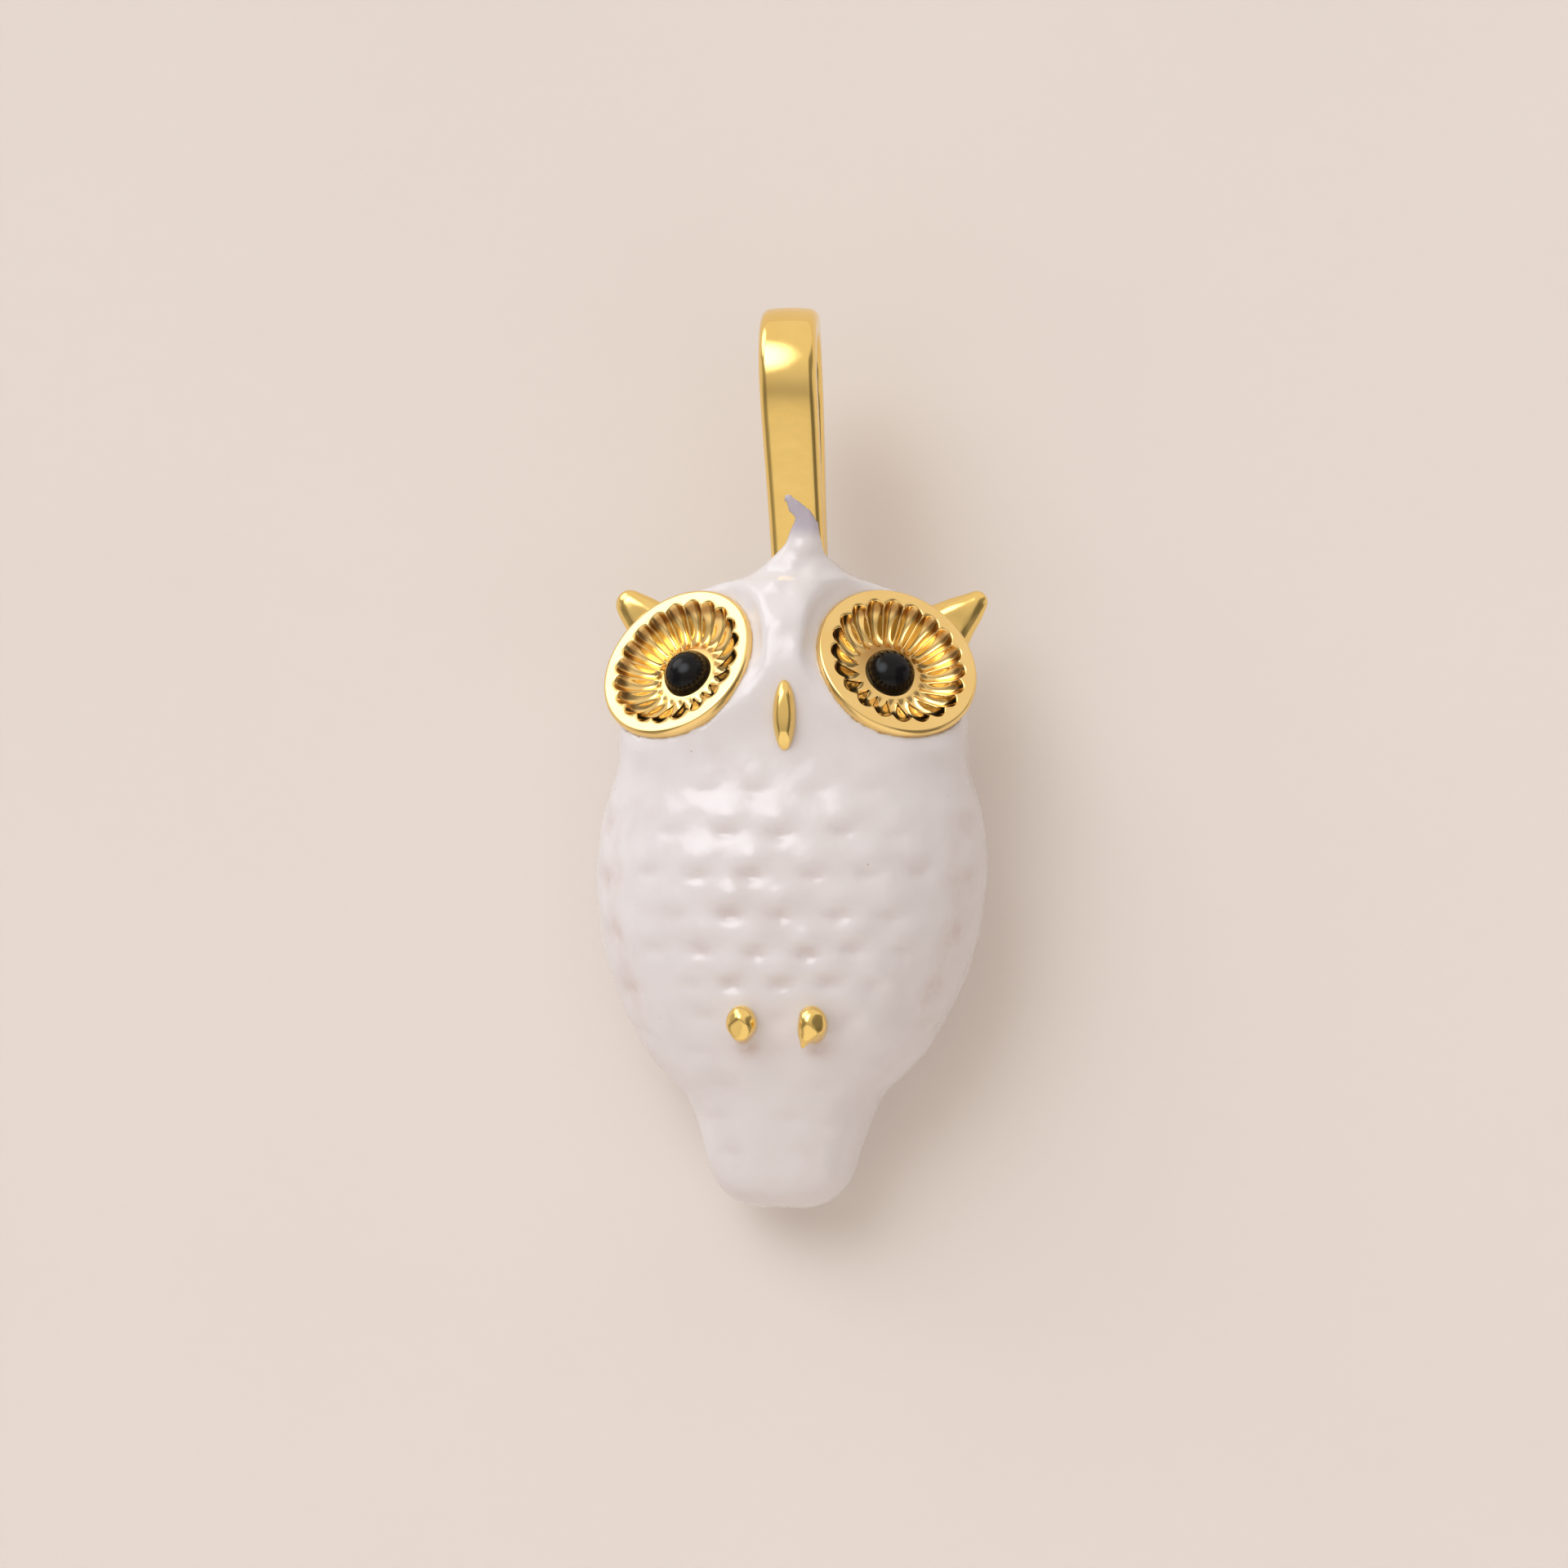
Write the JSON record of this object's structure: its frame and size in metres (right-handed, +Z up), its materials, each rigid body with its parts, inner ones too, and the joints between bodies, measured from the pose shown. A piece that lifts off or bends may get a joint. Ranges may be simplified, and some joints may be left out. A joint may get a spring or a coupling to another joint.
{
  "type": "owl pendant charm",
  "caption": "Owl charm, a plated metal casting under a white enamel coat, with fluted dish eyes, black domed pupils and a rigid teardrop strap bail for a chain",
  "frame": {"origin": "where a chain bears, on the inside of the bail's top bend", "axes": "+Z up, from the owl's tail to the bail; -Y is the way the owl faces; +X is to the right of someone facing the owl, and the chain runs along X"},
  "size_m": [0.0128, 0.0073, 0.03],
  "materials": {
    "plated_casting": "polished, gold plated",
    "enamel": "gloss",
    "plated_strap": "polished, gold plated",
    "solder": "satin",
    "plated_cup": "polished, gold plated",
    "pupil_bead": "gloss, opaque black",
    "adhesive": "clear"
  },
  "bodies": {
    "root": {"body_casting": "plated_casting", "enamel_coat": "enamel", "bail": "plated_strap", "bail_solder": "solder", "eye_cup_left": "plated_cup", "eye_cup_right": "plated_cup", "cup_solder_left": "solder", "cup_solder_right": "solder", "pupil_left": "pupil_bead", "pupil_right": "pupil_bead", "pupil_glue_left": "adhesive", "pupil_glue_right": "adhesive"}
  },
  "joints": []
}
